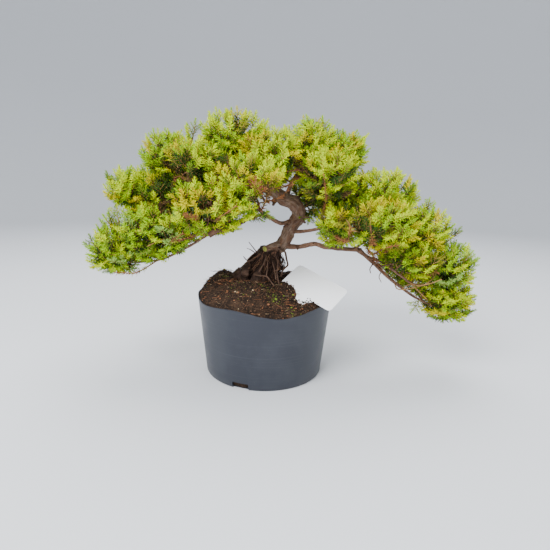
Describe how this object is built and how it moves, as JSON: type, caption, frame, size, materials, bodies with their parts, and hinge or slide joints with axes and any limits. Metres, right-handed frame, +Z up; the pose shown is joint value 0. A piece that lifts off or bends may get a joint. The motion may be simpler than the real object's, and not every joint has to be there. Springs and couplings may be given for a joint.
{
  "type": "juniper_bonsai",
  "caption": "Small spreading juniper trained as a bonsai, on exposed roots in a cut-down round plastic pot with a blank plant label.",
  "frame": {"origin": "middle of the flat underside of the pot", "axes": "+X along the longest extent of the plant, towards the longer hanging arm; +Z up; -Y is the side that shows the bare trunk and the label"},
  "size_m": [0.4855, 0.2221, 0.3335],
  "materials": {
    "pot": "satin charcoal plastic, cut rim left rough",
    "soil": "dark brown potting mix of bark fibre and peat",
    "label": "white plastic card, matte",
    "bark": "grey brown to red brown bark, finely ridged",
    "needles": "yellow green needle foliage"
  },
  "bodies": {
    "root": {"pot": "pot", "soil": "soil", "label": "label", "trunk": "bark", "bough_right_low": "bark", "bough_right_drop": "bark", "bough_right_drop_upper": "bark", "bough_right_rise": "bark", "bough_right_mid": "bark", "bough_right_upper": "bark", "bough_right_point": "bark", "bough_right_front": "bark", "bough_right_inner": "bark", "bough_right_shoulder": "bark", "bough_right_knee": "bark", "bough_right_under": "bark", "bough_left_front": "bark", "bough_crown_front": "bark", "bough_front_left": "bark", "bough_left_low": "bark", "bough_left_tip": "bark", "bough_left_upper": "bark", "bough_left_out": "bark", "bough_left_middle": "bark", "bough_front_upper": "bark", "bough_crown_right": "bark", "bough_back_centre": "bark", "bough_back_left": "bark", "bough_back_far_left": "bark", "bough_back_right": "bark", "bough_back_far_right": "bark", "foliage_left_arm_tip": "needles", "foliage_left_arm": "needles", "foliage_left_tip": "needles", "foliage_left_middle": "needles", "foliage_left_shoulder": "needles", "foliage_front_left": "needles", "foliage_front_upper": "needles", "foliage_apex": "needles", "foliage_crown_front": "needles", "foliage_crown_right": "needles", "foliage_right_peak": "needles", "foliage_right_point": "needles", "foliage_right_front": "needles", "foliage_right_inner": "needles", "foliage_right_low": "needles", "foliage_right_shoulder": "needles", "foliage_right_middle": "needles", "foliage_right_knee": "needles", "foliage_right_arm": "needles", "foliage_right_arm_tip": "needles", "foliage_right_under": "needles", "foliage_back_left": "needles", "foliage_back_far_left": "needles", "foliage_back_centre": "needles", "foliage_back_right": "needles", "foliage_back_far_right": "needles"}
  },
  "joints": []
}
